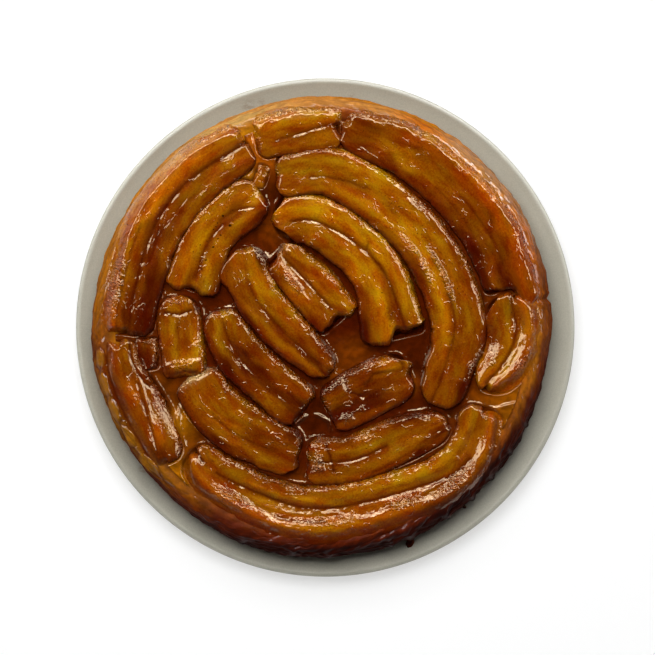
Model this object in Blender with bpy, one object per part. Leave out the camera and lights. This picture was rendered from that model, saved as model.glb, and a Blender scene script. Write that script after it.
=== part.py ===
"""A banana tarte tatin turned out on a stoneware plate.

Halved bananas lie cut side up in rings, sunk in a round of pastry whose edge was tucked up round them in
the pan. The pastry, each piece of banana and the plate are solids of their own. Lengths are millimetres,
and MM turns them into Blender's metres. The origin is the middle of the plate's foot, on the table.
"""

import math

import bpy
from mathutils import Vector

MM = 0.001
GAP = 0.3  # clearance between pieces that touch

# Plate
PLATE_RADIUS = 136.0
PLATE_SIDES = 60
WELL_TOP = 6.4  # height of the surface that the tart stands on
LIP_TOP = 11.4
FOOT_RADIUS = 78.0
FOOT_WIDTH = 6.0
FOOT_HEIGHT = 2.2

# Tart
TART_X, TART_Y = -1.6, 0.5  # it was turned out a little off the plate's middle
TART_RADIUS = 125.0
TART_SIDES = 60
TART_BASE = WELL_TOP + GAP
FLOOR_THICK = 8.5  # pastry under the bananas
POOL_RISE = 18.8  # pastry and set caramel between the bananas, at the middle
RIM_RISE = 23.0  # top of the tucked-up edge

# Banana halves
BANANA_THICK = 17.0
STATION_STEP = 16.5  # distance between the sections of a half
ROUTE_STEPS = 200
BLUNT = 7.0  # an end rounded off by no more than this keeps nearly its whole width
CUTTER_GROW = GAP + 0.1

# Section of a half banana, cut face up: (across, up) as shares of half its width and of its thickness.
# The cut face is a shallow valley between two rims, and the skin side is round.
SECTION = (
    (0.0, 0.93),
    (0.74, 1.0),
    (0.94, 0.88),
    (1.0, 0.64),
    (0.86, 0.26),
    (0.45, 0.0),
    (-0.45, 0.0),
    (-0.86, 0.26),
    (-1.0, 0.64),
    (-0.94, 0.88),
    (-0.74, 1.0),
)

# Each half: its route over the plate as (x, y, half its width there), how far its head and its tail round
# off, how much its left rim is raised (and its right one lowered), and how far it stands up.
HALVES = {
    "outer_left": (
        ((-41, 100, 12), (-66, 85.5, 13.6), (-91, 57, 14.0), (-104.2, 18, 13.2), (-107.5, -5, 12.2)),
        (9, 9),
        -2.0,
        1.0,
    ),
    "outer_top": (((-39, 101.7, 10.4), (-15, 107, 11.0), (8.5, 108.2, 9.8)), (7, 4), 1.5, 0.4),
    "outer_right": (
        ((12, 108, 10.8), (44, 96, 13.6), (72, 74, 14.6), (91, 49, 15.0), (101.5, 21, 14)),
        (8, 3),
        2.5,
        0.4,
    ),
    "outer_hook": (
        ((101, 17.5, 13.4), (102.6, -2, 14.2), (97.4, -18, 13.0), (83.6, -34.6, 7.6)),
        (3, 13),
        2.5,
        0.8,
    ),
    "outer_bottom": (
        ((-71, -64, 8.6), (-58, -82, 12), (-9, -101, 13.4), (56, -87, 13), (78.5, -68.5, 11.5), (86, -42, 9.6)),
        (12, 8),
        -1.0,
        0.6,
    ),
    "outer_low_left": (
        ((-111.5, -6.5, 7.8), (-110, -20, 8.8), (-103, -35, 10.8), (-94, -52, 11.8), (-84.5, -75, 8.8)),
        (6, 10),
        -1.5,
        0.6,
    ),
    "small_left": (((-96.2, -4.5, 5.0), (-95.6, -14, 4.8), (-94, -24, 3.4)), (4, 6), 0.0, -1.2),
    "seeded": (
        ((-33.5, 72.5, 11.0), (-47, 64.8, 11.8), (-63.2, 48, 11.6), (-73.4, 19.5, 13.0)),
        (11, 3),
        0.0,
        0.3,
    ),
    "long_arc": (
        ((-27, 81.4, 9.6), (7, 82.4, 12.4), (50, 50.5, 13), (71.6, 6, 13.6), (66.4, -24, 11.4), (59.6, -43.5, 10)),
        (5, 12),
        1.0,
        0.8,
    ),
    "inner_arc": (
        ((-28.6, 56.5, 10.6), (-4, 57.5, 12.4), (27, 31.5, 13.2), (37.6, -7.5, 15.6)),
        (13, 5),
        0.0,
        0.5,
    ),
    "small_centre": (((-26, 41, 9.6), (-8, 22, 12.0), (9, 3, 11.4)), (5, 4), 0.0, 0.0),
    "centre": (
        ((-45, 43.5, 9.0), (-38.4, 19, 11.0), (-22.3, -1.5, 11.4), (3, -25.8, 6.4)),
        (11, 10),
        0.0,
        0.4,
    ),
    "left_of_centre": (
        ((-57, 10, 8.4), (-53.0, -4, 10.8), (-42, -20, 11.8), (-11.6, -46, 11.2)),
        (9, 5),
        1.0,
        0.0,
    ),
    "stub": (((-80, 17.5, 10.6), (-78.6, 2, 11.0), (-77.2, -10, 11.0), (-76, -25.5, 10.6)), (8, 4), 0.0, 0.6),
    "low_left": (
        ((-70, -28, 11.8), (-61, -42.4, 13.4), (-45, -56, 13.6), (-14, -70.4, 11.6)),
        (5, 5),
        0.0,
        0.3,
    ),
    "low_right": (((0.8, -46.3, 12.2), (24, -34, 13.8), (46.6, -24.2, 11.2)), (6, 6), 0.0, -0.6),
    "low_middle": (
        ((-10.2, -72.2, 10.8), (15, -71.2, 11.6), (42, -60.2, 11.2), (67.5, -51.2, 6.4)),
        (6, 12),
        0.0,
        -0.3,
    ),
    "crumb": (((-39.0, 83.8, 3.2), (-30.2, 80.8, 3.2)), (4, 4), 0.0, -1.4),
}


def clear_scene():
    for obj in list(bpy.data.objects):
        bpy.data.objects.remove(obj, do_unlink=True)


def make_material(name, color, roughness, coat=0.0):
    material = bpy.data.materials.new(name)
    material.use_nodes = True
    shader = material.node_tree.nodes["Principled BSDF"]
    shader.inputs["Base Color"].default_value = (*color, 1.0)
    shader.inputs["Roughness"].default_value = roughness
    shader.inputs["Metallic"].default_value = 0.0
    shader.inputs["Coat Weight"].default_value = coat
    material.diffuse_color = (*color, 1.0)
    return material


def make_object(name, points, faces, material):
    """A mesh object from points in millimetres, shaded smooth but for its sharp edges."""
    mesh = bpy.data.meshes.new(name)
    mesh.from_pydata([Vector(p) * MM for p in points], [], faces)
    mesh.materials.append(material)
    mesh.shade_smooth()
    mesh.set_sharp_from_angle(angle=math.radians(50))
    obj = bpy.data.objects.new(name, mesh)
    bpy.context.scene.collection.objects.link(obj)
    return obj


def lathe(name, profile, sides, material, centre=(0.0, 0.0), radius_share=lambda angle: 1.0):
    """Turns a profile of (radius, height), from the axis underneath round to the axis on top.

    radius_share makes the round uneven: it scales the radius by the angle.
    """
    rings = profile[1:-1]
    points = [(*centre, profile[0][1])]
    for radius, height in rings:
        for side in range(sides):
            angle = 2 * math.pi * side / sides
            reach = radius * radius_share(angle)
            x = centre[0] + reach * math.cos(angle)
            y = centre[1] + reach * math.sin(angle)
            points.append((x, y, height))
    points.append((*centre, profile[-1][1]))
    top = len(points) - 1

    faces = []
    for side in range(sides):
        after = (side + 1) % sides
        faces.append((0, 1 + after, 1 + side))
        for ring in range(len(rings) - 1):
            low = 1 + ring * sides
            high = low + sides
            faces.append((low + side, low + after, high + after, high + side))
        last = 1 + (len(rings) - 1) * sides
        faces.append((last + side, last + after, top))
    return make_object(name, points, faces, material)


def make_plate(material):
    """A flat stoneware plate on a foot ring, its edge rising gently to a thin round lip."""
    foot_in = FOOT_RADIUS - FOOT_WIDTH / 2
    foot_out = FOOT_RADIUS + FOOT_WIDTH / 2
    profile = [
        (0.0, FOOT_HEIGHT),
        (foot_in - 1.5, FOOT_HEIGHT),
        (foot_in, 0.0),
        (foot_out, 0.0),
        (foot_out + 1.5, FOOT_HEIGHT),
        (PLATE_RADIUS * 0.88, FOOT_HEIGHT + 1.4),
        (PLATE_RADIUS - 6.0, LIP_TOP - 5.8),
        (PLATE_RADIUS - 1.8, LIP_TOP - 3.2),
        (PLATE_RADIUS, LIP_TOP - 1.2),
        (PLATE_RADIUS - 1.2, LIP_TOP - 0.3),
        (PLATE_RADIUS - 2.4, LIP_TOP),
        (PLATE_RADIUS - 3.6, LIP_TOP - 0.5),
        (PLATE_RADIUS - 7.0, LIP_TOP - 2.2),
        (PLATE_RADIUS - 11.0, LIP_TOP - 3.9),
        (PLATE_RADIUS - 15.5, WELL_TOP),
        (0.0, WELL_TOP),
    ]
    return lathe("plate", profile, PLATE_SIDES, material)


def tart_radius_share(angle):
    """The tart's outline: a near circle with slow waves from the pan and a nick on its right."""
    waves = 0.004 * math.cos(2 * angle - 2.2) + 0.004 * math.sin(4 * angle + 1.3) + 0.003 * math.sin(7 * angle)
    nick_angle = math.radians(8.5)
    nick = -0.012 * math.exp(-(((angle - nick_angle) / 0.045) ** 2))
    return 1.0 + waves + nick


def make_pastry(material):
    """The pastry round: flat underneath, bulging just above the plate, leaning in up to its tucked edge."""
    profile = [
        (0.0, 0.0),
        (TART_RADIUS - 8.5, 0.0),
        (TART_RADIUS - 3.2, 1.8),
        (TART_RADIUS - 0.7, 5.0),
        (TART_RADIUS, 9.0),
        (TART_RADIUS - 1.1, 14.0),
        (TART_RADIUS - 3.0, 18.8),
        (TART_RADIUS - 5.2, RIM_RISE - 0.7),
        (TART_RADIUS - 7.6, RIM_RISE),
        (TART_RADIUS - 15.0, POOL_RISE + 2.6),
        (TART_RADIUS * 0.55, POOL_RISE + 1.2),
        (0.0, POOL_RISE),
    ]
    profile = [(radius, TART_BASE + rise) for radius, rise in profile]
    return lathe("pastry", profile, TART_SIDES, material, (TART_X, TART_Y), tart_radius_share)


def route_point(route, share):
    """A point at a share of the route, on a Catmull-Rom curve through its points."""
    spans = len(route) - 1
    place = min(share * spans, spans - 1e-9)
    first = int(place)
    t = place - first
    b, c = route[first], route[first + 1]
    a = route[first - 1] if first else b + (b - c)
    d = route[first + 2] if first + 2 <= spans else c + (c - b)
    return 0.5 * (2 * b + (c - a) * t + (2 * a - 5 * b + 4 * c - d) * t**2 + (3 * b - 3 * c + d - a) * t**3)


def walk_route(route):
    """Fine points on the route's curve, their z a half width, and how far along it each one lies."""
    fine = [route_point(route, i / ROUTE_STEPS) for i in range(ROUTE_STEPS + 1)]
    along = [0.0]
    for before, after in zip(fine, fine[1:]):
        along.append(along[-1] + (after - before).xy.length)
    return fine, along


def place_at(fine, along, distance):
    """The point at a distance along the route, and the way ahead there."""
    i = next((k for k, far in enumerate(along) if far > distance), len(along) - 1)
    t = (distance - along[i - 1]) / (along[i] - along[i - 1])
    ahead = (fine[min(i + 2, ROUTE_STEPS)] - fine[max(i - 3, 0)]).xy.normalized()
    return fine[i - 1].lerp(fine[i], t), ahead


def end_share(distance, rounding):
    """How much of its width a half keeps at a distance from its end: a quarter of an ellipse."""
    if distance >= rounding:
        return 1.0
    floor = 0.3 if rounding > BLUNT else 0.7
    return floor + (1 - floor) * math.sqrt(1 - (1 - distance / rounding) ** 2)


def make_half(name, material, grow=0.0):
    """A half banana as a skin over sections along its route. With grow it is that much larger all round."""
    route, (head_round, tail_round), lean, lift = HALVES[name]
    fine, along = walk_route([Vector(p) for p in route])
    length = along[-1]
    body = length - head_round - tail_round
    spans = max(1, round(body / STATION_STEP))
    stations = [head_round + body * k / spans for k in range(spans + 1)]
    head = [0.0, 0.3 * head_round] if head_round > BLUNT else [0.0]
    tail = [length - 0.3 * tail_round, length] if tail_round > BLUNT else [length]
    stations = head + stations + tail

    points = []
    base = TART_BASE + FLOOR_THICK
    for i, station in enumerate(stations):
        place, ahead = place_at(fine, along, station)
        right = Vector((ahead.y, -ahead.x))
        keep = end_share(station, head_round) * end_share(length - station, tail_round)
        half_width = place.z * keep + grow
        thick = BANANA_THICK * (0.55 + 0.45 * keep) + lift
        shift = ahead * grow * ((i == len(stations) - 1) - (i == 0))
        for across, up in SECTION:
            spot = place.xy + shift + right * across * half_width
            rise = base + up * thick - lean * across * up + grow * (2 * up - 1)
            points.append((spot.x, spot.y, rise))

    count = len(SECTION)
    faces = [tuple(reversed(range(count)))]
    for ring in range(len(stations) - 1):
        low = ring * count
        for k in range(count):
            after = (k + 1) % count
            faces.append((low + k, low + after, low + count + after))
            faces.append((low + k, low + count + after, low + count + k))
    last = (len(stations) - 1) * count
    faces.append(tuple(last + k for k in range(count)))
    return make_object(name, points, faces, material)


def sink_half(pastry, name, material):
    """Cuts the bed of a half banana into the pastry."""
    cutter = make_half(name, material, CUTTER_GROW)
    cutter.name = "bed_" + name
    cutter.hide_render = True
    cutter.display_type = "WIRE"
    bed = pastry.modifiers.new(cutter.name, "BOOLEAN")
    bed.operation = "DIFFERENCE"
    bed.solver = "EXACT"
    bed.object = cutter


def main():
    clear_scene()
    stoneware = make_material("stoneware", (0.40, 0.36, 0.27), 0.42)
    crust = make_material("crust", (0.45, 0.17, 0.03), 0.45, coat=0.3)
    banana = make_material("banana", (0.34, 0.11, 0.006), 0.25, coat=0.8)
    make_plate(stoneware)
    pastry = make_pastry(crust)
    for name in HALVES:
        sink_half(pastry, name, crust)
        half = make_half(name, banana)
        half.name = "banana_" + name


main()
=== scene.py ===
import math
from types import SimpleNamespace

import bpy
import numpy as np
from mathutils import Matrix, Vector


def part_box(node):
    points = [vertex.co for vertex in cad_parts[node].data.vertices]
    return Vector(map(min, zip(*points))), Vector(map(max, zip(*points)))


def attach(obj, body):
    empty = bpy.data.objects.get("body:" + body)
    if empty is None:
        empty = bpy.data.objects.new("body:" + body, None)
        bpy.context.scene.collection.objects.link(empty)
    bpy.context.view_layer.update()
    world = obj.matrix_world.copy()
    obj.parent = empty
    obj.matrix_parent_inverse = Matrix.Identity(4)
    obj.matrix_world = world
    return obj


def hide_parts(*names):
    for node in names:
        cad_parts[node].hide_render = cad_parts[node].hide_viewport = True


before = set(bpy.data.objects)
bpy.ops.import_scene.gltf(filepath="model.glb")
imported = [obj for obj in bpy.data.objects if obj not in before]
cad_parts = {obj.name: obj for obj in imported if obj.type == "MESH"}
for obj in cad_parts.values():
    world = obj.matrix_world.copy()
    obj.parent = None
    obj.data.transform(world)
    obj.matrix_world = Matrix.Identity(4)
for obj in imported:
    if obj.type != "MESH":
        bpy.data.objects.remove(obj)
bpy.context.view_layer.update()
mm = 0.001  # everything below is worked out in millimetres
print("frame:", len(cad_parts), "solids")


def boxOf(node):
    # a node's low and high corner in mm
    low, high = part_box(node)
    return np.array(low) / mm, np.array(high) / mm


tartLow, tartHigh = boxOf("pastry")
plateHigh = boxOf("plate")[1]
tartMiddle = (tartLow[:2] + tartHigh[:2]) / 2
poolLevel = tartLow[2] + 18.9  # set caramel at the middle of the tart

# colours, linear
tone = {
    "amber": (0.45, 0.168, 0.001), "honey": (0.395, 0.132, 0.001), "tan": (0.325, 0.103, 0.001),
    "toffee": (0.258, 0.074, 0.0008), "brown": (0.206, 0.0465, 0.0005), "umber": (0.154, 0.0288, 0.0004),
    "dark": (0.073, 0.008, 0.0002), "deep": (0.056, 0.0042, 0.0001), "black": (0.024, 0.002, 0.0002),
    "orange": (0.46, 0.11, 0.0008), "rust": (0.25, 0.0435, 0.0006), "ginger": (0.35, 0.076, 0.0007),
    "olive": (0.28, 0.099, 0.0014), "pool": (0.064, 0.0078, 0.0001), "cream": (0.4464, 0.2592, 0.0936),
    "gold": (0.44, 0.175, 0.03), "straw": (0.44, 0.245, 0.064),
}


# numbers on grids

def ease(t):
    # smooth step from 0 to 1
    t = np.clip(t, 0, 1)
    return t * t * (3 - 2 * t)


def bell(t):
    # 1 at nothing, falling off on both sides as exp(-t * t)
    return np.exp(-np.square(t))


def between(pair, share):
    # a straight blend from the pair's first to its second, for colours too
    return pair[0] * (1 - share) + pair[1] * share


def grain(x, y, size, seed, rounds=1):
    # uneven ground: random heights on a square lattice, blended by a smooth curve; each further round halves
    # the size and the height. About -1 to 1
    cells, middle = 128, 40
    field = np.random.default_rng(seed).uniform(-1, 1, (cells, cells))
    total, gain = 0.0, 1.0
    for k in range(rounds):
        gx, gy = x / size + 17.3 * k + middle, y / size + 5.9 * k + middle
        ix, iy = np.floor(gx).astype(int), np.floor(gy).astype(int)
        tx, ty = ease(gx - ix), ease(gy - iy)
        ix, iy, jx, jy = ix % cells, iy % cells, (ix + 1) % cells, (iy + 1) % cells
        near = between((field[ix, iy], field[jx, iy]), tx)
        far = between((field[ix, jy], field[jx, jy]), tx)
        total = total + gain * between((near, far), ty)
        size, gain = size / 2, gain / 2
    return total


def hills(v, stops):
    # height over v: the stops are crests and hollows as (v, height), joined by smooth steps
    total = np.full(np.shape(v), float(stops[0][1]))
    for (v0, h0), (v1, h1) in zip(stops, stops[1:]):
        total = total + (h1 - h0) * ease((v - v0) / (v1 - v0))
    return total


def shades(v, stops):
    # colour over v: straight blends between (v, colour name)
    places = [s[0] for s in stops]
    colours = np.array([tone[s[1]] for s in stops])
    return np.stack([np.interp(v, places, colours[:, c]) for c in range(3)], -1)


def quilt(along, across, rows):
    # colour over a strip: one line of colours for each place across, spread evenly from head to tail
    places = np.linspace(-0.85, 0.85, len(rows))
    table = np.array([[tone[name] for name in row.split()] for row in rows])
    count = table.shape[1]
    u = np.clip(along * count - 0.5, 0, count - 1)
    w = np.clip(np.interp(across, places, np.arange(len(rows))), 0, len(rows) - 1)
    iu, iw = np.minimum(u.astype(int), count - 2), np.minimum(w.astype(int), len(rows) - 2)
    tu, tw = ease(u - iu)[..., None], ease(w - iw)[..., None]
    near, far = (between((table[iw + k, iu], table[iw + k, iu + 1]), tu) for k in (0, 1))
    return between((near, far), tw)


def mixTo(paint, colour, share):
    # a straight blend towards one of the named colours
    return between((paint, np.array(tone[colour])), np.clip(np.asarray(share), 0, 1)[..., None])


def polar(x, y):
    # compass angle from the east, counter-clockwise in degrees, and distance from the tart's middle
    dx, dy = x - tartMiddle[0], y - tartMiddle[1]
    return np.degrees(np.arctan2(dy, dx)) % 360, np.hypot(dx, dy)


# meshes

def setValues(obj, name, kind, key, values):
    # a value at each vertex, for the material to read
    layer = obj.data.attributes.new(name, kind, "POINT")
    layer.data.foreach_set(key, np.asarray(values, np.float32).ravel())


def makeMesh(name, verts, faces, material, paint=None, run=None):
    # an object from points in mm; paint is a colour at each of them and run a place on the flat strip
    mesh = bpy.data.meshes.new(name)
    mesh.from_pydata((np.asarray(verts).reshape(-1, 3) * mm).tolist(), [], faces)
    mesh.materials.append(material)
    mesh.shade_smooth()
    obj = bpy.data.objects.new(name, mesh)
    bpy.context.scene.collection.objects.link(obj)
    if paint is not None:
        colours = np.ones((len(mesh.vertices), 4))
        colours[:, :3] = np.asarray(paint).reshape(-1, 3)
        setValues(obj, "paint", "FLOAT_COLOR", "color", colours)
    if run is not None:
        corners = np.zeros(len(mesh.loops), np.int32)
        mesh.loops.foreach_get("vertex_index", corners)
        layer = mesh.uv_layers.new(name="run")
        layer.data.foreach_set("uv", np.asarray(run, np.float32).reshape(-1, 2)[corners].ravel())
    return obj


def gridFaces(rows, cols, wrap=False):
    # quads over a grid whose rows run one way and whose columns run to the right of that way
    r = np.arange(rows - 1)[:, None] * cols
    c = np.arange(cols if wrap else cols - 1)[None, :]
    d = (c + 1) % cols
    quads = np.stack(np.broadcast_arrays(r + c, r + d, r + cols + d, r + cols + c), -1)
    return quads.reshape(-1, 4).tolist()


def turnedFaces(rows, cols):
    # a profile of cols points turned through rows steps: the grid, the strip that closes it and two caps
    c = np.arange(cols - 1)
    last = (rows - 1) * cols
    ring = np.arange(rows) * cols
    closing = np.stack([last + c, last + c + 1, c + 1, c], 1)
    return gridFaces(rows, cols) + closing.tolist() + [ring[::-1].tolist(), (ring + cols - 1).tolist()]


def settle(obj, slot, *nodes):
    # every piece is on the one body and takes the place of its solid, where it has one
    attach(obj, "root")
    if nodes:
        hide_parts(*nodes)


# materials

class Wire:
    # a socket that can stand in a sum
    def __init__(self, board, socket):
        self.board, self.socket = board, socket

    def sum(self, kind, a, b):
        return self.board.add("Math", {"operation": kind}, {0: a, 1: b})

    def __add__(self, other):
        return self.sum("ADD", self, other)

    __radd__ = __add__

    def __sub__(self, other):
        return self.sum("SUBTRACT", self, other)

    def __rsub__(self, other):
        return self.sum("SUBTRACT", other, self)

    def __mul__(self, other):
        return self.sum("MULTIPLY", self, other)

    __rmul__ = __mul__

    def __pow__(self, other):
        return self.sum("POWER", self, other)

    def most(self, other):
        return self.sum("MAXIMUM", self, other)


class Board:
    # one material and its nodes
    def __init__(self, name, **fixed):
        self.material = bpy.data.materials.new(name)
        self.material.use_nodes = True
        self.tree = self.material.node_tree
        self.shader = self.tree.nodes["Principled BSDF"]
        for key, value in fixed.items():
            self.shader.inputs[key.replace("_", " ")].default_value = value

    def add(self, kind, settings={}, inputs={}, output=0):
        node = self.tree.nodes.new("ShaderNode" + kind)
        for key, value in settings.items():
            setattr(node, key, value)
        for key, value in inputs.items():
            if isinstance(value, Wire):
                self.tree.links.new(value.socket, node.inputs[key])
            else:
                node.inputs[key].default_value = value
        return Wire(self, node.outputs[output])

    def place(self):
        return self.add("TexCoord", output=3)  # Object coordinates

    def attribute(self, name, output=0):
        return self.add("Attribute", {"attribute_name": name}, output=output)

    def noise(self, where, scale, detail=2.0, roughness=0.5, stretch=(1, 1, 1)):
        spot = self.add("Mapping", {}, {"Vector": where, "Scale": stretch})
        return self.add("TexNoise", {},
                        {"Vector": spot, "Scale": scale, "Detail": detail, "Roughness": roughness})

    def span(self, value, low, high, to=(0.0, 1.0)):
        # where value lies between low and high, as 0 to 1 or as to
        return self.add("MapRange", {"interpolation_type": "SMOOTHSTEP"},
                        {"Value": value, "From Min": low, "From Max": high, "To Min": to[0], "To Max": to[1]})

    def sway(self, noise, low, high):
        # a factor that wanders between low and high with a noise
        return self.span(noise, 0.3, 0.7, (low, high))

    def blend(self, share, a, b):
        return self.add("Mix", {"data_type": "RGBA"}, {0: share, 6: a, 7: b}, 2)

    def scaled(self, colour, factor):
        return self.add("VectorMath", {"operation": "SCALE"}, {0: colour, "Scale": factor})

    def filtered(self, colour, by):
        return self.add("VectorMath", {"operation": "MULTIPLY"}, {0: colour, 1: by})

    def bump(self, height, proud, strength=1.0):
        return self.add("Bump", {}, {"Height": height, "Strength": strength, "Distance": proud * mm})

    def feed(self, **wires):
        for key, wire in wires.items():
            self.tree.links.new(wire.socket, self.shader.inputs[key.replace("_", " ")])
        return self.material


# gloss of everything that caramel covers: it is the base's own, warmed by the caramel, so that fine relief
# breaks its highlights
gloss = dict(Specular_IOR_Level=0.5, IOR=1.5, Specular_Tint=(1.0, 0.8, 0.52, 1))
# the glazed fruit: its core's specks, what deep and thin glaze do to the colour, mm from fold to fold
glaze = dict(speck=(0.03, 0.008, 0.001, 1), steeped=(0.83, 0.52, 0.25), thin=(1.07, 1.19, 1.2), folds=2.6)


def wetFolds(board, apart):
    # skin of glaze in small steps, apart mm from one to the next: each falls gently up the table and rises
    # sharply behind, along lines that a noise bends
    gentle = 0.82  # share of a step
    spot = board.place()
    right, up = (board.add("SeparateXYZ", {}, {0: spot}, k) for k in (0, 1))
    bend = board.noise(spot, 170.0, 2, 0.5)
    steps = (up * 0.87 + right * 0.5) * (1 / mm / apart) + bend * 5.0
    way = board.add("Math", {"operation": "FRACT"}, {0: steps})
    return board.span(way, 0.0, gentle, (1.0, 0.0)).most(board.span(way, gentle, 1.0))


def glazedFruit():
    # colour: the painted one, mottled, yellower where the glaze is thin, with the core's specks. Relief:
    # crinkles where the piece's shine says so, ripples, and thin folds along the middle height of a noise
    board = Board("glazed banana", **gloss)
    run = board.add("UVMap", {"uv_map": "run"})
    shine = board.attribute("shine", 2)
    mottle = board.noise(run, 1.6, 3, 0.6, (0.6, 1, 1))
    streaks = board.noise(run, 3.2, 3, 0.5, (0.3, 1, 1))
    grit = board.noise(run, 10.0, 2, 0.6)
    shade = board.sway(mottle, 0.92, 1.08) * board.sway(streaks, 0.92, 1.07) * board.sway(grit, 0.9, 1.1)
    shaded = board.scaled(board.attribute("paint"), shade)
    deep = board.noise(run, 2.2, 4, 0.6, (0.4, 1, 1))
    steeped, thin = (board.filtered(shaded, glaze[key]) for key in ("steeped", "thin"))
    shaded = board.blend(board.span(deep + grit * 0.35, 0.48, 0.82), steeped, thin)
    dots = {"Vector": run, "Scale": 6.5, "Randomness": 1.0}
    away = board.add("TexVoronoi", {}, dots)
    choice = board.add("SeparateColor", {}, {0: board.add("TexVoronoi", {}, dots, 1)})
    speck = board.span(away, 0.2, 0.12) * board.span(choice, 0.74, 0.76) * 0.7
    ripple = board.noise(run, 3.2, 2, 0.5, (0.6, 1, 1))
    crinkle = board.noise(run, 5.2, 2, 0.5, (0.8, 1, 1))
    flow = board.noise(run, 1.5, 2, 0.5, (0.7, 1, 1))
    fold = board.span(((flow - 0.5) * (flow - 0.5)) ** 0.5, 0.05, 0.0) * board.span(mottle, 0.52, 0.6)
    folds = board.span(shine, 0.45, 1.0) * wetFolds(board, glaze["folds"])
    height = (crinkle * 0.9 + grit * 0.12) * shine + ripple * 0.1 + fold * (shine * 0.5 + 0.08) + folds * 0.85
    return board.feed(Base_Color=board.blend(speck, shaded, glaze["speck"]), Normal=board.bump(height, 1.0),
                      Roughness=board.span(mottle, 0.35, 0.65, (0.04, 0.08)))


def setCaramel():
    # clouded colour and a slow ripple
    board = Board("set caramel", Roughness=0.05, **gloss)
    spot = board.place()
    swell = board.noise(spot, 260.0, 3, 0.5)
    ripple = board.noise(spot, 420.0, 2, 0.5)
    return board.feed(Base_Color=board.scaled(board.attribute("paint"), board.sway(swell, 0.75, 1.25)),
                      Normal=board.bump(ripple, 0.4, 0.6))


def bakedCrust():
    # thin leaves of pastry run along the edge, dull where dry; the coat is the caramel that has soaked them
    board = Board("baked crust", Roughness=0.6, Specular_IOR_Level=0.03, Coat_Roughness=0.08, Coat_IOR=1.5)
    wind = board.attribute("wind", 1)
    leaves = board.noise(wind, 5.5, 4, 0.6, (0.2, 0.2, 1))
    blisters = board.noise(wind, 4.5, 3, 0.55)
    grit = board.noise(wind, 14.0, 2, 0.6, (0.5, 0.5, 1))
    shade = board.sway(leaves, 0.86, 1.1) * board.sway(blisters, 0.9, 1.1) * board.sway(grit, 0.92, 1.08)
    return board.feed(Base_Color=board.scaled(board.attribute("paint"), shade),
                      Normal=board.bump(leaves * 0.35 + blisters * 0.25 + grit * 0.12, 1.0),
                      Coat_Weight=board.attribute("shine", 2) * 0.9)


# smears of caramel on the plate: ((x, y), reach, strength)
dish = dict(around=256, body=(0.432, 0.413, 0.335), lip=(0.44, 0.425, 0.35), smear=(0.16, 0.07, 0.02, 1),
            smearHeight=7,
            smears=[((-42, 121.5), 6, 0.4), ((-35, 124), 4, 0.4), ((15, 126.5), 3, 0.6),
                    ((-88, 91), 2.5, 0.5), ((70, -101), 4, 0.4), ((-100, -78), 4, 0.4)])


def satinStoneware():
    # faintly clouded and finely speckled; each smear is a ball of a noise's patches round its place
    board = Board("stoneware", Roughness=0.42, Specular_IOR_Level=0.4)
    spot = board.place()
    cloud = board.noise(spot, 35.0, 3, 0.6)
    speck = board.noise(spot, 1500.0, 2, 0.5)
    shade = board.sway(cloud, 0.97, 1.03) * board.sway(speck, 0.93, 1.06)
    colour = board.scaled(board.attribute("paint"), shade)
    smudge = board.noise(spot, 240.0, 3, 0.6, (1, 2, 1))
    for (x, y), reach, share in dish["smears"]:
        centre = (x * mm, y * mm, dish["smearHeight"] * mm)
        away = board.add("VectorMath", {"operation": "DISTANCE"}, {0: spot, 1: centre}, 1)
        near = board.span(away, reach * mm, 0.2 * reach * mm) * board.span(smudge, 0.42, 0.58) * share
        colour = board.blend(near, colour, dish["smear"])
    return board.feed(Base_Color=colour, Normal=board.bump(speck, 0.3, 0.08))


fruit, caramel, crust, stoneware = glazedFruit(), setCaramel(), bakedCrust(), satinStoneware()
print("materials made")

# pastry, its shape and colours
# outline: (degrees, radius). profile, down the outside: (radius less the outline's, height over the base)
pastry = dict(
    around=900, down=110,
    outline=[(0, 123.0), (6.2, 122.9), (7.4, 120.9), (8.8, 122.7), (14, 123.4), (30, 124), (60, 124.8),
             (90, 125.4), (120, 125.8), (150, 125.4), (180, 127.2), (190, 127.6), (210, 125.5), (225, 124.5),
             (245, 126), (270, 125), (285, 124), (300, 123.2), (315, 122.2), (340, 121.8), (350, 122.2),
             (360, 123.0)],
    profile=[(-28, 12.0), (-22, 17.5), (-15, 21.4), (-11, 22.6), (-8, 22.9), (-5.6, 22.3), (-3.6, 20.6),
             (-2.2, 18.2), (-1.0, 14.5), (-0.1, 10.5), (-0.5, 6.5), (-2.4, 3.2), (-5.0, 1.2), (-8.5, 0.0),
             (-30, 0.0)])
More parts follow.
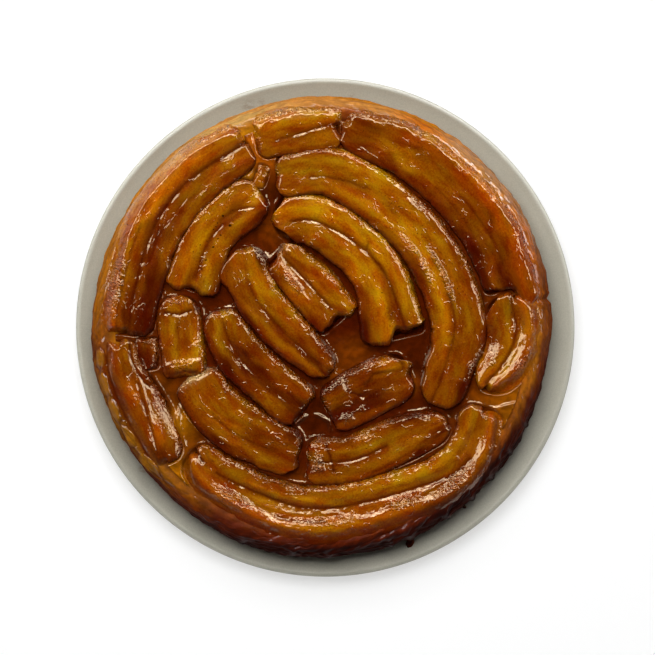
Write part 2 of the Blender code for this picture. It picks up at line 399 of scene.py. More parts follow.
# by angle: colours inside the crest, on it, at the outer edge and down the side, how soaked and how ragged.
# The colours are partly the crust's own, caramelised darker at the south, and partly painted light and
# shade: pale straw and gold at the north, towards the lamps, and near black down the south side, in shade
pastryTones = [
    (0, "toffee", "tan", "brown", "umber", 0.5, 0.5), (14, "rust", "rust", "brown", "umber", 0.65, 0.5),
    (26, "rust", "ginger", "orange", "tan", 0.92, 0.5), (40, "rust", "honey", "gold", "honey", 0.95, 0.55),
    (54, "rust", "honey", "gold", "honey", 0.92, 0.5), (64, "tan", "tan", "orange", "honey", 0.5, 0.3),
    (75, "rust", "tan", "gold", "honey", 0.3, 0.3), (84, "dark", "rust", "gold", "honey", 0.35, 0.35),
    (95, "tan", "tan", "gold", "gold", 0.35, 0.3), (110, "amber", "honey", "straw", "gold", 0.3, 0.25),
    (130, "honey", "gold", "straw", "gold", 0.25, 0.2), (148, "orange", "honey", "gold", "honey", 0.4, 0.2),
    (160, "tan", "tan", "tan", "honey", 0.55, 0.4), (172, "tan", "toffee", "tan", "toffee", 0.6, 0.6),
    (186, "tan", "brown", "brown", "umber", 0.6, 0.6), (200, "umber", "dark", "olive", "olive", 0.6, 0.6),
    (214, "dark", "olive", "olive", "dark", 0.6, 0.5), (228, "toffee", "toffee", "umber", "dark", 0.5, 0.5),
    (240, "umber", "dark", "dark", "black", 0.4, 0.7),
    (255, "umber", "dark", "black", "black", 0.3, 0.9), (285, "umber", "dark", "black", "black", 0.3, 1.0),
    (305, "umber", "dark", "black", "black", 0.4, 1.0), (325, "toffee", "umber", "black", "black", 0.45, 1.0),
    (340, "orange", "toffee", "dark", "black", 0.4, 0.7), (352, "brown", "tan", "umber", "dark", 0.45, 0.5),
    (360, "toffee", "tan", "brown", "umber", 0.5, 0.5),
]
# lens-shaped leaves of pastry that have come loose along the crest: (degrees, half length in mm)
pastryLeaves = [(188, 5.0), (194.5, 7.0), (201.5, 6.5), (208.8, 6.5), (217.7, 7.5)]
# caramel run down the side: (degrees, half width in mm, how proud)
pastryDrips = [(292, 2.6, 1.3), (287, 1.6, 0.8), (303, 2.0, 0.9), (311, 1.5, 1.0), (318, 1.8, 0.9),
               (326, 1.4, 0.8), (271, 2.2, 0.7), (262, 1.6, 0.6), (334, 1.3, 0.7), (249, 2.0, 0.7)]


def crestTone(x, y):
    # colour just inside the pastry's crest at a place in plan, partly painted light and shade as in the table
    degrees, away = polar(x, y)
    sides = [shades(degrees, [(row[0], row[k]) for row in pastryTones]) for k in (1, 2)]
    return between(sides, ease((away - 108) / 8)[..., None])


def pastryTop(x, y):
    # height of the crust over a place in plan, from the upper part of its profile
    degrees, away = polar(x, y)
    reach = away - np.interp(degrees, *zip(*pastry["outline"]))
    return tartLow[2] + np.interp(reach, *zip(*pastry["profile"][:10]))


# banana halves
# Each lies along its route (x, y, half width). Places on it are (along, across): 0 at the head to 1 at the
# tail, and -1 at the left edge to 1 at the right. Lengths are in mm.
# ends: how round head and tail are. grow: how much wider on the left and the right. slope: how far in from
# each edge the surface falls, and by how much. profile: heights across, deep: their scale. head, tail: how
# far each end is pushed out, across. open: the end that runs on into the next half.
# tones: colours head to tail, left edge first. film: how broken the glaze is on the flats.
# lines: (height, width, places); creases where the height is less than 0, or else folds.
# lumps: (along, across, reach along, reach across, height). shine: likewise, how broken the glaze is.
# stains: likewise, a colour and its share. nicks: (along, side, reach, depth).
# seeds: (along, across, size). rows: lines of seeds from one place to another, how many and how large.

halves = [
    dict(node="banana_outer_left", film=0.16, ends=(9, 8), grow=(1.8, 1.6), slope=((3.4, 1.0), (7.0, 0.5)),
         route=[(-41, 100, 12), (-66, 85.5, 13.6), (-91, 57, 14), (-104.2, 18, 13.2), (-107.5, -5, 12.2)],
         profile=[(-1, -3.6), (-0.7, -3.2), (-0.35, -3.9), (0.0, -3.6), (0.45, 0), (0.8, -0.7), (1, -1.2)],
         tones=["brown toffee toffee toffee dark dark", "tan toffee umber umber dark dark",
                "tan toffee brown dark umber dark", "ginger ginger ginger brown brown dark",
                "tan orange orange honey tan ginger", "ginger gold ginger rust rust rust"],
         lines=[(-0.9, 1.3, [(0, 0.1), (0.12, -0.05), (0.35, 0.06), (0.6, 0.0), (1, -0.1)]),
                (0.3, 0.7, [(0.3, -0.42), (0.42, -0.5), (0.56, -0.42)]),
                (0.3, 0.8, [(0.05, -0.75), (0.35, -0.7)]),
                (0.35, 0.9, [(0.1, 0.72), (0.5, 0.8), (1, 0.6)]),
                (-0.5, 0.8, [(0.55, 0.5), (0.97, 0.45)])],
         shine=[(0.8, 0.75, 34, 7, 0.8), (0.25, 0.9, 30, 3, 0.6), (0.2, -0.7, 18, 3, 0.4)]),
    dict(node="banana_outer_top", ends=(7, 4), grow=(1.6, 1.6), slope=((6.2, 0.7), (3.4, 1.0)),
         route=[(-39, 101.7, 10.4), (-15, 107, 11), (8.5, 108.2, 9.8)],
         profile=[(-1, -1.2), (-0.5, 0), (0.1, -1.6), (0.6, -1.4), (1, -2.6)],
         tail=[(-1, 1.5), (-0.5, 3.2), (0.1, -1.2), (0.6, 1.0), (1, -1)],
         tones=["gold gold honey", "honey honey honey", "tan rust toffee", "toffee brown toffee",
                "toffee brown tan", "toffee toffee toffee"],
         lines=[(-0.6, 0.9, [(0.25, 0.35), (0.55, 0.2), (0.95, -0.25)]),
                (0.4, 0.7, [(0.45, 0.4), (0.97, -0.05)]),
                (0.35, 0.8, [(0.05, -0.2), (0.15, -0.6), (0.35, -0.95)])],
         shine=[(0.7, -0.2, 8, 5, 0.5)]),
    dict(node="banana_outer_right", open="tail", ends=(8, 5), grow=(1.0, 1.2),
         slope=((6.2, 0.7), (3.2, 0.9)),
         route=[(12, 108, 10.8), (44, 96, 13.6), (72, 74, 14.6), (91, 49, 15), (101.5, 21, 14)],
         profile=[(-1, -1.0), (-0.55, 0), (-0.05, -2.4), (0.4, -3.4), (0.8, -3.4), (1, -4)],
         head=[(-1, 3), (0, 4.5), (1, 3)], tail=[(-1, 12), (-0.3, 10), (0.1, 1), (1, -2)],
         tones=["brown toffee amber orange rust rust", "umber rust rust rust ginger rust",
                "brown brown brown brown umber umber", "brown tan toffee brown brown dark",
                "umber tan toffee brown umber brown", "umber umber umber umber dark dark"],
         lines=[(0.3, 0.7, [(0.5, -0.02), (0.72, -0.05), (0.92, 0.0)]),
                (-0.6, 0.8, [(0.55, 0.1), (0.93, 0.08)]),
                (0.35, 0.8, [(0.16, 0.62), (0.18, 0.4), (0.22, 0.3)]),
                (0.25, 0.6, [(0.6, 0.45), (0.9, 0.4)]), (0.4, 1.2, [(0.21, -0.2), (0.29, -0.3)]),
                (-0.35, 0.7, [(0.45, 0.5), (0.8, 0.62)])],
         shine=[(0.55, -0.95, 40, 4.5, 0.6), (0.25, -0.2, 8, 3, 0.5), (0.6, 0.4, 35, 8, 0.25)]),
    dict(node="banana_outer_hook", open="head", film=0.2, deep=0.85, ends=(9, 12), grow=(1.6, 1.0),
         slope=((9, 0.6), (3.2, 1.0)),
         route=[(101, 17.5, 13.4), (102.6, -2, 14.2), (97.4, -18, 13), (83.6, -34.6, 7.6)],
         profile=[(-1, -1.4), (-0.5, 0), (-0.1, -2.2), (0.45, -0.6), (0.8, -1.6), (1, -2.6)],
         head=[(-1, 0), (-0.3, 0), (0.2, 3.0), (0.6, 1.5), (1, -3)],
         tones=["brown brown toffee", "ginger ginger ginger", "brown tan honey", "toffee honey orange",
                "toffee toffee tan", "brown umber honey"],
         lines=[(-0.7, 0.9, [(0, 0.1), (0.3, -0.05), (0.6, 0.0), (0.9, 0.05)]),
                (0.4, 0.8, [(0.2, -0.45), (0.5, -0.2), (0.9, -0.1)]),
                (0.35, 0.8, [(0.1, -0.5), (-0.02, 0.1), (0.03, 0.8)])],
         lumps=[(0.56, 1.0, 15, 10, -3.2), (0.6, -0.4, 14, 4, 0.6), (0.06, -0.05, 8, 6, 1.5)],
         shine=[(0.6, -0.65, 14, 4, 0.8), (0.72, 0.5, 10, 6, 0.7), (0.1, 0.3, 5, 8, 0.5)]),
    dict(node="banana_outer_bottom", film=0.22, deep=0.8, ends=(12, 8), grow=(2.0, 2.0),
         slope=((3.4, 1.0), (7.8, 0.5)),
         route=[(-71, -64, 8.6), (-58, -82, 12), (-9, -101, 13.4), (56, -87, 13), (78.5, -68.5, 11.5),
                (86, -42, 9.6)],
         profile=[(-1, -1.6), (-0.65, -1.2), (-0.25, -3.0), (0.05, -2.4), (0.6, 0), (0.85, -0.3),
                  (1, -1.0)],
         tones=["brown brown toffee honey honey tan", "toffee honey honey tan tan tan",
                "brown tan toffee ginger brown toffee", "rust toffee ginger toffee brown toffee",
                "ginger ginger honey ginger brown ginger", "umber rust rust rust dark umber"],
         lines=[(-0.8, 1.0, [(0.1, -0.2), (0.25, -0.32), (0.45, -0.2), (0.7, -0.22), (0.85, 0.1)]),
                (0.45, 0.9, [(0.04, -0.5), (0.1, -0.6)]),
                (0.45, 0.9, [(0.14, -0.5), (0.36, -0.55), (0.47, -0.25)]),
                (0.4, 0.8, [(0.26, 0.1), (0.45, 0.0), (0.53, 0.5), (0.6, 0.3)]),
                (0.3, 0.8, [(0.25, 0.62), (0.5, 0.7)]),
                (0.5, 1.0, [(0.68, 0.15), (0.76, -0.05), (0.83, -0.4)]),
                (-0.6, 0.8, [(0.3, 0.35), (0.42, 0.3)]), (-1.4, 1.0, [(-0.02, 0.02), (0.05, -0.02)])],
         shine=[(0.17, 0.35, 17, 5, 1.0), (0.42, 0.3, 26, 5, 0.8), (0.63, 0.2, 12, 5, 1.0),
                (0.78, 0.3, 16, 6, 0.9), (0.98, 0.1, 4, 6, 0.7)]),
    dict(node="banana_outer_low_left", film=0.2, ends=(5, 9), grow=(1.5, 0.8),
         slope=((4, 1.6), (7.8, 0.6)),
         route=[(-111.5, -6.5, 7.8), (-110, -20, 8.8), (-103, -35, 10.8), (-94, -52, 11.8),
                (-84.5, -75, 8.8)],
         profile=[(-1, -2.6), (-0.55, -1.6), (-0.1, -0.9), (0.35, 0), (1, -1.4)],
         head=[(-1, -1), (-0.4, 1.5), (0.1, -0.6), (0.6, 1.2), (1, -1)],
         tones=["brown umber umber umber brown umber", "toffee brown brown brown toffee umber",
                "brown umber ginger brown ginger umber", "rust brown ginger brown rust dark",
                "rust brown rust brown umber dark", "brown umber umber umber umber umber"],
         lines=[(-0.9, 0.9, [(0.0, -0.7), (0.3, -0.62), (0.42, -0.75)]),
                (-0.6, 0.9, [(0.36, -0.35), (0.62, 0.02), (0.9, 0.3)]),
                (0.5, 0.9, [(0.37, -0.5), (0.55, -0.2), (0.68, -0.02)]),
                (-0.5, 0.8, [(0.85, -0.2), (0.98, 0.1)]),
                (-0.9, 0.9, [(0.04, 0.9), (0.5, 0.92), (0.95, 0.8)])],
         lumps=[(0.64, -1.15, 16, 9, -3.6), (0.02, -0.3, 2, 3, 0.6)],
         shine=[(0.6, -0.6, 16, 6, 0.55), (0.03, 0.0, 3, 9, 0.9), (0.4, 0.1, 16, 2.5, 0.6),
                (0.4, 0.5, 20, 3, 0.3)]),
    dict(node="banana_small_left", film=0.5, ends=(3, 3), grow=(1.0, 1.5), slope=((2.4, 0.8), (2.4, 0.8)),
         route=[(-96.2, -4.5, 5), (-95.6, -14, 4.8), (-94, -24, 3.4)],
         profile=[(-1, -1), (0, 0), (1, -1)],
         tones=["umber umber dark", "umber dark dark"],
         shine=[(0.1, 0.2, 4, 5, 1.0)]),
    dict(node="banana_seeded", ends=(10, 4), grow=(1.6, 1.8), slope=((3.2, 0.9), (3.4, 1.1)),
         route=[(-33.5, 72.5, 11), (-47, 64.8, 11.8), (-63.2, 48, 11.6), (-73.4, 19.5, 13)],
         profile=[(-1, -0.6), (-0.5, -0.2), (-0.05, -1.2), (0.5, 0), (1, -0.8)],
         tail=[(-1, -1.5), (-0.5, 1.2), (-0.05, -1.5), (0.5, 2.4), (1, 0.5)],
         tones=["dark umber toffee tan brown umber", "rust tan toffee tan amber olive",
                "honey brown umber brown brown toffee", "honey brown toffee amber toffee umber",
                "honey tan tan tan honey tan", "toffee tan tan tan tan toffee"],
         lines=[(-0.5, 1.0, [(0.12, -0.35), (0.25, 0.0), (0.4, 0.1)]),
                (-0.6, 0.9, [(0.4, -0.08), (0.9, -0.05)]),
                (0.3, 0.7, [(0.0, 0.1), (0.06, 0.75), (0.2, 0.98)])],
         seeds=[(0.37, -0.35, 1.2), (0.48, -0.38, 0.8), (0.52, -0.36, 0.6), (0.6, -0.37, 1.0),
                (0.73, -0.25, 0.8), (0.8, -0.2, 0.8), (0.86, -0.22, 0.5), (0.42, 0.1, 0.7),
                (0.45, 0.08, 0.6), (0.48, 0.05, 0.6), (0.36, 0.2, 0.9), (0.63, 0.25, 0.6),
                (0.2, -0.3, 0.5), (0.29, 0.35, 0.4), (0.7, 0.4, 0.4)],
         shine=[(0.4, 1.0, 30, 3, 0.7)]),
    dict(node="banana_long_arc", ends=(5, 11), grow=(1.9, 1.0), slope=((3.8, 1.3), (3.0, 0.8)),
         route=[(-27, 81.4, 9.6), (7, 82.4, 12.4), (50, 50.5, 13), (71.6, 6, 13.6), (66.4, -24, 11.4),
                (59.6, -43.5, 10)],
         profile=[(-1, -0.9), (-0.55, 0), (-0.1, -0.7), (0.1, -1.1), (0.55, -0.3), (1, -1.0)],
         head=[(-1, -3), (-0.5, 1), (0, 0), (0.5, 1), (1, -1)],
         tones=["brown amber brown brown brown dark", "olive honey tan toffee toffee brown",
                "olive toffee toffee toffee brown brown", "toffee tan honey honey toffee brown",
                "toffee honey honey amber honey brown", "tan toffee toffee umber tan toffee"],
         lines=[(-0.5, 0.9, [(0.1, 0.25), (0.17, 0.2), (0.27, -0.05)]),
                (0.3, 0.8, [(0.33, 0.0), (0.5, 0.1), (0.72, 0.0)]),
                (0.3, 0.8, [(0.38, 0.7), (0.66, 0.4)]),
                (-0.5, 0.9, [(0.66, 0.1), (0.85, 0.2), (1.0, 0.3)]),
                (0.35, 1.2, [(0.38, -0.68), (0.46, -0.68)]), (0.4, 1.0, [(0.80, -0.45), (0.805, -0.15)]),
                (0.4, 1.0, [(0.82, 0.1), (0.825, 0.4)]), (0.4, 1.0, [(0.905, -0.75), (0.91, -0.3)])],
         rows=[(0.3, -0.35, 0.66, -0.3, 17, 0.45), (0.35, -0.08, 0.6, -0.05, 12, 0.4),
               (0.1, -0.1, 0.3, -0.15, 7, 0.35)],
         shine=[(0.6, 0.0, 26, 2.6, 1.0), (0.53, 0.55, 30, 3, 0.9), (0.24, -1.0, 24, 3, 0.6),
                (0.6, -1.1, 30, 3, 1.0), (0.85, -1.0, 12, 3, 0.9), (0.4, -0.1, 14, 3, 0.5)]),
    dict(node="banana_inner_arc", ends=(12, 5), grow=(2.3, 1.4), slope=((4.0, 1.4), (3.0, 0.9)),
         route=[(-28.6, 56.5, 10.6), (-4, 57.5, 12.4), (27, 31.5, 13.2), (37.6, -7.5, 15.6)],
         profile=[(-1, -0.8), (-0.5, 0), (0.0, -1.0), (0.45, -0.2), (1, -0.8)],
         head=[(-1, -4), (-0.4, 1.5), (0.2, 0.5), (1, -6)],
         tail=[(-1, -4.5), (-0.5, -3.0), (-0.15, -4.5), (0.25, 2.5), (0.7, 0.5), (1, -2)],
         tones=["tan honey honey honey honey tan", "amber amber honey amber honey brown",
                "honey tan tan tan brown umber", "toffee toffee ginger honey amber honey",
                "brown tan tan amber tan toffee", "dark toffee toffee honey brown dark"],
         lines=[(-0.7, 1.0, [(0.1, 0.08), (0.3, -0.02), (0.52, -0.18), (0.8, -0.35), (1.0, -0.5)]),
                (0.35, 0.9, [(0.29, 0.12), (0.45, 0.02)]), (0.4, 0.9, [(0.5, 0.02), (0.55, -0.02)]),
                (-0.4, 0.7, [(0.5, -0.5), (0.52, -0.2)]), (0.3, 0.8, [(0.62, -0.6), (0.7, -0.78)])],
         rows=[(0.6, 0.2, 0.92, 0.02, 8, 0.4)],
         shine=[(0.3, -1.15, 26, 3, 0.6), (0.75, -1.1, 16, 3, 0.8)]),
    dict(node="banana_small_centre", ends=(4, 4), grow=(1.8, 1.3), slope=((3.4, 1.1), (3.0, 1.0)),
         route=[(-26, 41, 9.6), (-8, 22, 12), (9, 3, 11.4)],
         profile=[(-1, -0.6), (-0.5, 0), (-0.03, -2.0), (0.45, -0.3), (1, -1.2)],
         head=[(-1, -3), (-0.5, 2.2), (0.0, 0.5), (0.4, -1.5), (1, -2)],
         tail=[(-1, 0), (-0.5, 2.0), (0.05, -3.0), (0.5, -1.5), (1, -2)],
         tones=["toffee tan ginger", "tan rust tan", "brown tan toffee", "toffee toffee toffee",
                "tan honey toffee", "umber tan umber"],
         lines=[(-0.8, 0.8, [(0.1, -0.05), (0.85, -0.05)]),
                (0.4, 0.8, [(0.1, 0.35), (0.4, 0.5), (0.65, 0.5)])],
         shine=[(0.35, 0.5, 12, 3, 1.0), (0.1, -0.4, 5, 3, 0.7), (0.6, 0.1, 10, 5, 0.4)]),
    dict(node="banana_centre", ends=(10, 9), grow=(1.7, 0.8), slope=((3.6, 1.2), (3.0, 1.0)),
         route=[(-45, 43.5, 9), (-38.4, 19, 11), (-22.3, -1.5, 11.4), (3, -25.8, 6.4)],
         profile=[(-1, -0.4), (-0.5, 0), (0.1, -1.8), (0.5, -1.0), (1, -1.6)],
         tones=["dark tan tan tan brown umber", "tan honey tan rust brown brown",
                "toffee honey toffee toffee umber umber", "tan brown brown umber dark dark",
                "tan brown olive toffee toffee toffee", "brown brown dark umber brown umber"],
         lines=[(-0.5, 1.0, [(0.22, 0.1), (0.55, 0.08), (0.9, 0.0)]),
                (0.35, 0.7, [(0.25, 0.9), (0.6, 0.95), (0.85, 0.7)]),
                (0.3, 0.6, [(0.87, -0.15), (0.93, -0.2), (1.0, 0.05)])], nicks=[(0.15, 1, 6, 5.0)],
         shine=[(0.03, 0.1, 5, 8, 0.7), (0.4, -1.1, 30, 2.5, 0.7)]),
    dict(node="banana_left_of_centre", film=0.18, ends=(9, 6), grow=(2.1, 0.9),
         slope=((3.6, 1.2), (3.0, 1.0)),
         route=[(-57, 10, 8.4), (-53, -4, 10.8), (-42, -20, 11.8), (-11.6, -46, 11.2)],
         profile=[(-1, -0.4), (-0.5, 0), (0.08, -2.4), (0.55, -1.0), (1, -1.6)],
         tones=["brown brown umber brown brown brown", "toffee brown umber brown brown brown",
                "honey umber dark dark umber dark", "tan umber dark dark dark dark",
                "tan olive umber umber toffee umber", "brown umber dark umber toffee umber"],
         lines=[(-0.6, 1.0, [(0.1, 0.0), (0.4, 0.05), (0.95, 0.1)]),
                (0.3, 0.7, [(0.13, 0.1), (0.28, -0.15), (0.4, -0.1)]),
                (0.3, 0.7, [(0.6, -0.35), (0.7, -0.65), (0.86, -0.4)])],
         shine=[(0.05, 0.0, 7, 8, 0.6), (0.5, -1.1, 30, 2.5, 0.8)]),
    dict(node="banana_stub", film=0.25, ends=(10, 5), grow=(0.9, 1.0), slope=((3.0, 1.0), (3.0, 1.0)),
         route=[(-80, 17.5, 10.6), (-78.6, 2, 11), (-77.2, -10, 11), (-76, -25.5, 10.6)],
         profile=[(-1, -0.4), (-0.5, 0), (-0.05, -1.6), (0.5, -0.2), (1, -0.9)],
         head=[(-1, -1), (0, 1), (1, -1)], tail=[(-1, 2), (0, 1.5), (1, 2)],
         tones=["dark tan honey tan", "brown toffee honey tan", "tan brown brown amber",
                "tan umber brown amber", "tan tan olive tan", "umber toffee toffee brown"],
         lines=[(-1.0, 1.0, [(0.21, -0.6), (0.25, 0.0), (0.21, 0.7)]),
                (0.9, 1.3, [(0.83, -0.7), (0.86, 0.0), (0.85, 0.9)]),
                (-0.8, 1.0, [(0.93, -0.6), (0.93, 0.9)]), (0.35, 0.8, [(0.6, -0.9), (0.68, -0.3)])],
         stains=[(0.09, -0.05, 3.6, 5.6, "tan", 0.6)],
         shine=[(0.86, 0.2, 4, 8, 1.0), (0.08, 0, 4, 8, 1.0), (0.62, -0.7, 6, 4, 0.8)]),
    dict(node="banana_low_left", film=0.3, ends=(7, 9), grow=(1.4, 0.8), slope=((3.4, 1.1), (3.0, 1.0)),
         route=[(-70, -28, 11.8), (-61, -42.4, 13.4), (-45, -56, 13.6), (-14, -70.4, 11.6)],
         profile=[(-1, -0.5), (-0.5, 0), (-0.1, -0.6), (0.3, -1.4), (0.7, -0.8), (1, -1.6)],
         head=[(-1, 3), (0, 3.5), (1, 2)], tail=[(-1, -1), (0, 0.5), (0.6, 2), (1, 0)],
         tones=["brown brown toffee brown umber dark", "toffee toffee tan toffee brown umber",
                "toffee toffee brown umber umber brown", "toffee toffee tan brown umber umber",
                "toffee toffee toffee toffee olive brown", "brown brown dark umber toffee ginger"],
         lines=[(0.35, 0.8, [(0.2, -0.5), (0.4, -0.58), (0.6, -0.45), (0.78, -0.4)]),
                (0.3, 0.7, [(0.58, 0.0), (0.7, -0.3), (0.95, -0.42)]),
                (0.35, 1.0, [(0.18, 0.35), (0.25, 0.2)]),
                (0.4, 1.0, [(0.0, -0.8), (0.03, 0.2), (0.02, 0.7)]),
                (-0.5, 0.9, [(0.3, 0.25), (0.8, 0.2)])],
         stains=[(0.02, 0.0, 1.8, 9, "cream", 0.7)],
         shine=[(0.2, 0.45, 9, 5, 0.6), (0.5, -1.0, 24, 3, 0.8), (0.02, 0, 3, 10, 0.7),
                (0.8, 0.7, 10, 4, 0.5)]),
    dict(node="banana_low_right", film=0.35, ends=(7, 7), grow=(1.4, 0.8), slope=((3.2, 1.1), (3.0, 1.0)),
         route=[(0.8, -46.3, 12.2), (24, -34, 13.8), (46.6, -24.2, 11.2)],
         profile=[(-1, -0.6), (-0.4, 0), (0.2, -2.2), (0.6, -1.2), (1, -1.8)],
         tail=[(-1, -4), (-0.45, 3.2), (0.1, -0.5), (0.5, 0), (1, -1)],
         tones=["dark umber rust", "brown umber tan", "brown umber brown", "dark dark brown",
                "dark dark brown", "brown brown umber"],
         lines=[(-1.0, 1.0, [(0.34, -0.9), (0.3, -0.4), (0.42, 0.1)]),
                (-0.8, 1.0, [(0.5, -0.2), (0.62, -0.55), (0.86, -0.3)]),
                (0.45, 0.9, [(0.27, -0.5), (0.36, -0.1), (0.44, 0.0)]),
                (0.45, 0.9, [(0.5, -0.4), (0.58, -0.6), (0.8, -0.5)]),
                (-1.0, 1.0, [(0.9, -1.0), (0.9, -0.3)]), (0.4, 0.9, [(0.12, 0.5), (0.22, 0.75)])],
         lumps=[(0.98, -0.45, 3, 4, 1.6), (0.2, -0.55, 5, 4, 0.8), (0.72, -0.75, 6, 3, 1.0)],
         stains=[(0.8, -0.7, 4, 3.5, "honey", 0.8)],
         shine=[(0.16, 0.6, 5, 4, 0.9), (0.7, -1.1, 12, 3, 0.8), (1.0, -0.4, 4, 4, 0.9),
                (0.75, 0.5, 8, 4, 0.5)]),
    dict(node="banana_low_middle", film=0.3, ends=(6, 8), grow=(1.4, 1.5), slope=((3.2, 1.1), (3.2, 1.1)),
         route=[(-10.2, -72.2, 10.8), (15, -71.2, 11.6), (42, -60.2, 11.2), (67.5, -51.2, 6.4)],
         profile=[(-1, -0.4), (-0.5, 0), (0.02, -1.7), (0.5, -0.5), (1, -1.4)],
         head=[(-1, 0), (-0.3, 1.5), (0.2, -0.5), (0.6, 1.0), (1, 0)],
         tones=["brown umber toffee brown dark umber", "rust toffee olive toffee brown toffee",
                "brown brown tan olive toffee toffee", "brown umber brown toffee tan umber",
                "umber brown toffee olive toffee dark", "toffee toffee brown toffee dark brown"],
         lines=[(-0.8, 0.8, [(0.08, 0.05), (0.3, 0.05), (0.55, 0.0)]),
                (0.9, 1.4, [(0.04, -0.7), (0.08, 0.0), (0.13, 0.85)]),
                (-0.9, 0.9, [(0.13, -0.8), (0.16, -0.2), (0.18, 0.5)]),
                (-0.4, 0.7, [(0.4, 0.9), (0.7, 0.75), (1.0, 0.1)])],
         rows=[(0.42, -0.3, 0.55, -0.25, 4, 0.4), (0.6, 0.1, 0.95, -0.05, 9, 0.35)],
         shine=[(0.08, 0.0, 4, 9, 1.0), (0.85, -0.7, 5, 4, 0.8), (1.0, -0.1, 3, 3, 0.8),
                (0.4, -1.0, 20, 2.5, 0.8)]),
    dict(node="banana_crumb", ends=(3.5, 3.5), grow=(3.0, 3.6), slope=((2, 0.6), (2, 0.6)),
         route=[(-39, 83.8, 3.4), (-30.2, 80.8, 3.4)],
         profile=[(-1, -0.6), (0, 0), (1, -0.6)],
         tones=["ginger brown honey", "tan tan tan"],
         shine=[(0.5, 0, 5, 5, 0.5)]),
]


def walkRoute(route):
    # a smooth curve through the route's points (Catmull-Rom), softened by a moving average and read every
    # millimetre: distance, x, y, half width, and the way ahead
    points = np.array(route, float)
    points = np.vstack([2 * points[0] - points[1], points, 2 * points[-1] - points[-2]])
    fine = []
    for a, b, c, d in zip(points, points[1:], points[2:], points[3:]):
        t = np.linspace(0, 1, 60, endpoint=False)[:, None]
        fine.append(0.5 * (2 * b + (c - a) * t + (2 * a - 5 * b + 4 * c - d) * t**2
                           + (3 * b - 3 * c + d - a) * t**3))
    fine = np.vstack(fine + [points[-2:-1]])
    far = np.concatenate([[0], np.cumsum(np.hypot(*np.diff(fine[:, :2], axis=0).T))])
    length = far[-1]
    reach = 8  # of the moving average
    steps = np.linspace(0, length, int(length) + 1)
    steady = np.stack([np.interp(steps, far, fine[:, k]) for k in range(3)], 1)
    ends = np.arange(1, reach + 1)[:, None]
    before = steady[0] + (steady[0] - steady[1]) * ends[::-1]
    after = steady[-1] + (steady[-1] - steady[-2]) * ends
    window = np.hanning(2 * reach + 3)[1:-1]
    window /= window.sum()
    padded = np.vstack([before, steady, after])
    steady = np.stack([np.convolve(padded[:, k], window, "valid") for k in range(3)], 1)
    ahead = np.gradient(steady[:, :2], axis=0)
    ahead /= np.hypot(*ahead.T)[:, None]
    return steps, steady, ahead


def stretches(half, key, flat):
    # soft round spots of a half: yields each with its nearness, 1 in the middle and falling off as a bell
    for spot in half.get(key, []):
        place, off, reachS, reachQ = spot[:4]
        near = bell((flat.s - place * flat.length) / reachS) * bell((flat.q - off * flat.wide) / reachQ)
        yield spot[4:], near


def lineGap(s, q, length, wide, points):
    # distance in the flat strip from a bent line given by (along, across) points
    gap = np.full(s.shape, 99.0)
    for (a0, c0), (a1, c1) in zip(points, points[1:]):
        s0, run = a0 * length, (a1 - a0) * length
        q0, rise = c0 * wide, (c1 - c0) * wide
        t = np.clip(((s - s0) * run + (q - q0) * rise) / (run * run + rise * rise + 1e-9), 0, 1)
        gap = np.minimum(gap, np.hypot(s - s0 - t * run, q - q0 - t * rise))
    return gap


# what all halves share, in mm: glaze past the fruit, how deep they stand in the caramel, the grid, deep and
# film where a half says nothing else, the width of the side, a pushed end's reach, limits of the relief, and
# the reach of slope past which a side runs into the pastry
loaf = dict(glaze=1.1, sunk=1.5, rowStep=0.65, columns=71, endRows=18, endReach=7.0, deep=0.42, film=0.14,
            brow=2.6, jog=14.0, ceiling=1.0, settled=0.6, pastrySide=6)


